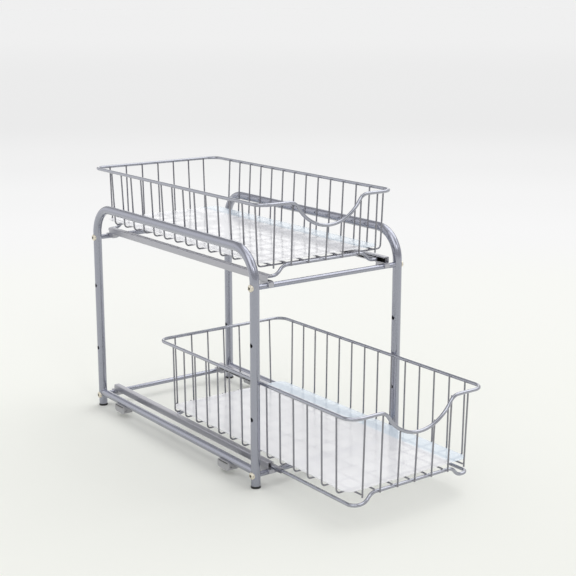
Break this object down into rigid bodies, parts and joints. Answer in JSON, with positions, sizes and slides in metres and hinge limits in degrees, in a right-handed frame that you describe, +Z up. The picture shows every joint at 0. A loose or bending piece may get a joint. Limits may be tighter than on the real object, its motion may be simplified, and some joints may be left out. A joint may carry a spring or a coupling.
{
  "type": "pull out cabinet basket",
  "caption": "Two-tier kitchen cabinet rack: bent tube side frames, and wire baskets with a dipped front rim that pull out forwards on side rails.",
  "frame": {"origin": "on the floor, in the middle of the footprint with the lower basket drawn out as stored", "axes": "+X to the right seen from the front, +Y from the front to the rear, +Z up"},
  "size_m": [0.2444, 0.5986, 0.3573],
  "materials": {
    "frame_steel": "silver grey powder coat, satin",
    "wire_steel": "silver grey powder coat on wire, satin",
    "rail_steel": "grey coated sheet steel, satin",
    "zinc": "zinc plated, semi-bright",
    "black_plastic": "moulded, fine matte",
    "pale_plastic": "moulded, slightly translucent",
    "clear_sheet": "clear sheet, gloss"
  },
  "bodies": {
    "frame": {"left_hoop": "frame_steel", "right_hoop": "frame_steel", "left_base_tube": "frame_steel", "right_base_tube": "frame_steel", "upper_front_bar": "frame_steel", "upper_rear_bar": "frame_steel", "lower_front_bar": "frame_steel", "lower_rear_bar": "frame_steel", "frame_screws": "zinc", "front_left_foot": "black_plastic", "front_right_foot": "black_plastic", "rear_left_foot": "black_plastic", "rear_right_foot": "black_plastic", "front_left_block": "pale_plastic", "front_right_block": "pale_plastic", "rear_left_block": "pale_plastic", "rear_right_block": "pale_plastic", "upper_left_rail": "rail_steel", "upper_right_rail": "rail_steel", "lower_left_rail": "rail_steel", "lower_right_rail": "rail_steel", "upper_left_glide": "black_plastic", "upper_right_glide": "black_plastic", "lower_left_glide": "black_plastic", "lower_right_glide": "black_plastic", "rail_saddles": "rail_steel", "rail_rivets": "zinc"},
    "upper_basket": {"upper_rim": "wire_steel", "upper_bottom_loop": "wire_steel", "upper_left_wires": "wire_steel", "upper_right_wires": "wire_steel", "upper_front_wires": "wire_steel", "upper_rear_wires": "wire_steel", "upper_floor_wires": "wire_steel", "upper_left_slide": "rail_steel", "upper_right_slide": "rail_steel", "upper_left_shoe": "black_plastic", "upper_right_shoe": "black_plastic", "upper_liner": "clear_sheet"},
    "lower_basket": {"lower_rim": "wire_steel", "lower_bottom_loop": "wire_steel", "lower_left_wires": "wire_steel", "lower_right_wires": "wire_steel", "lower_front_wires": "wire_steel", "lower_rear_wires": "wire_steel", "lower_floor_wires": "wire_steel", "lower_left_slide": "rail_steel", "lower_right_slide": "rail_steel", "lower_left_shoe": "black_plastic", "lower_right_shoe": "black_plastic", "lower_liner": "clear_sheet"}
  },
  "joints": [
    {"name": "upper_pull_out", "type": "slide", "parent": "frame", "child": "upper_basket", "axis": [0, -1, 0], "range_m": [0, 0.3]},
    {"name": "lower_pull_out", "type": "slide", "parent": "frame", "child": "lower_basket", "axis": [0, -1, 0], "range_m": [-0.174, 0.126]}
  ]
}
